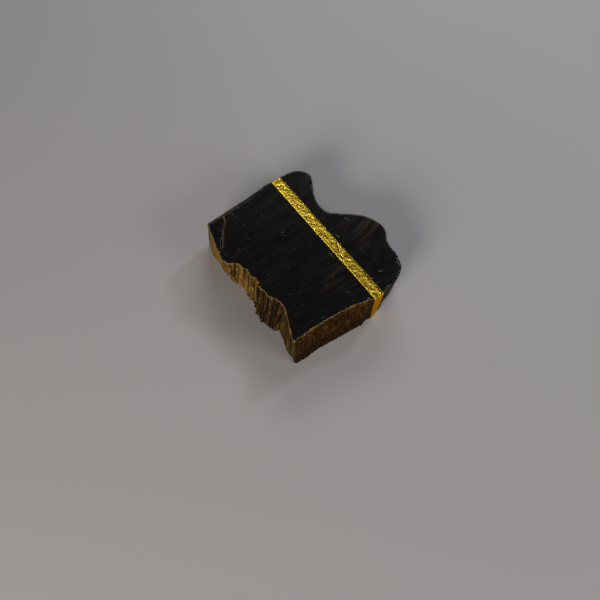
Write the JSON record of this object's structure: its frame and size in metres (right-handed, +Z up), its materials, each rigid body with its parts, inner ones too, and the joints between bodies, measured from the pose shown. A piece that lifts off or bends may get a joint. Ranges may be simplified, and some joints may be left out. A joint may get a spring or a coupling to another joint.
{
  "type": "ink stick",
  "caption": "Ink stick shaped like a split block of old wood: flat polished black face, fibrous broken side, lobed outline, brown pigment coat on the sides and a band of gold leaf around it.",
  "frame": {"origin": "middle of the stick's outline, on its resting face", "axes": "+Y along the gold band, which is the longest side; +X towards the side with the lobe and the nose, away from the split side; +Z up, out of the polished face"},
  "size_m": [0.0491, 0.0538, 0.0128],
  "materials": {
    "ink": "polished black cake of soot and glue, satin, with faint brown streaks and fine scratches",
    "brown_coat": "brushed brown pigment and glue, uneven, with red-brown and golden specks",
    "split_coat": "golden-olive pigment rubbed over moulded fibres, dark brown in the grooves",
    "gold_leaf": "crinkled greenish-yellow gold leaf, bright along its edges"
  },
  "bodies": {
    "root": {"ink_cake": "ink", "corner_flake": "ink", "front_coat": "brown_coat", "lobe_coat": "brown_coat", "back_coat": "brown_coat", "corner_coat": "split_coat", "split_coat": "split_coat", "gold_leaf_top": "gold_leaf", "gold_leaf_front": "gold_leaf", "gold_leaf_back": "gold_leaf", "gold_leaf_bottom": "gold_leaf"}
  },
  "joints": []
}
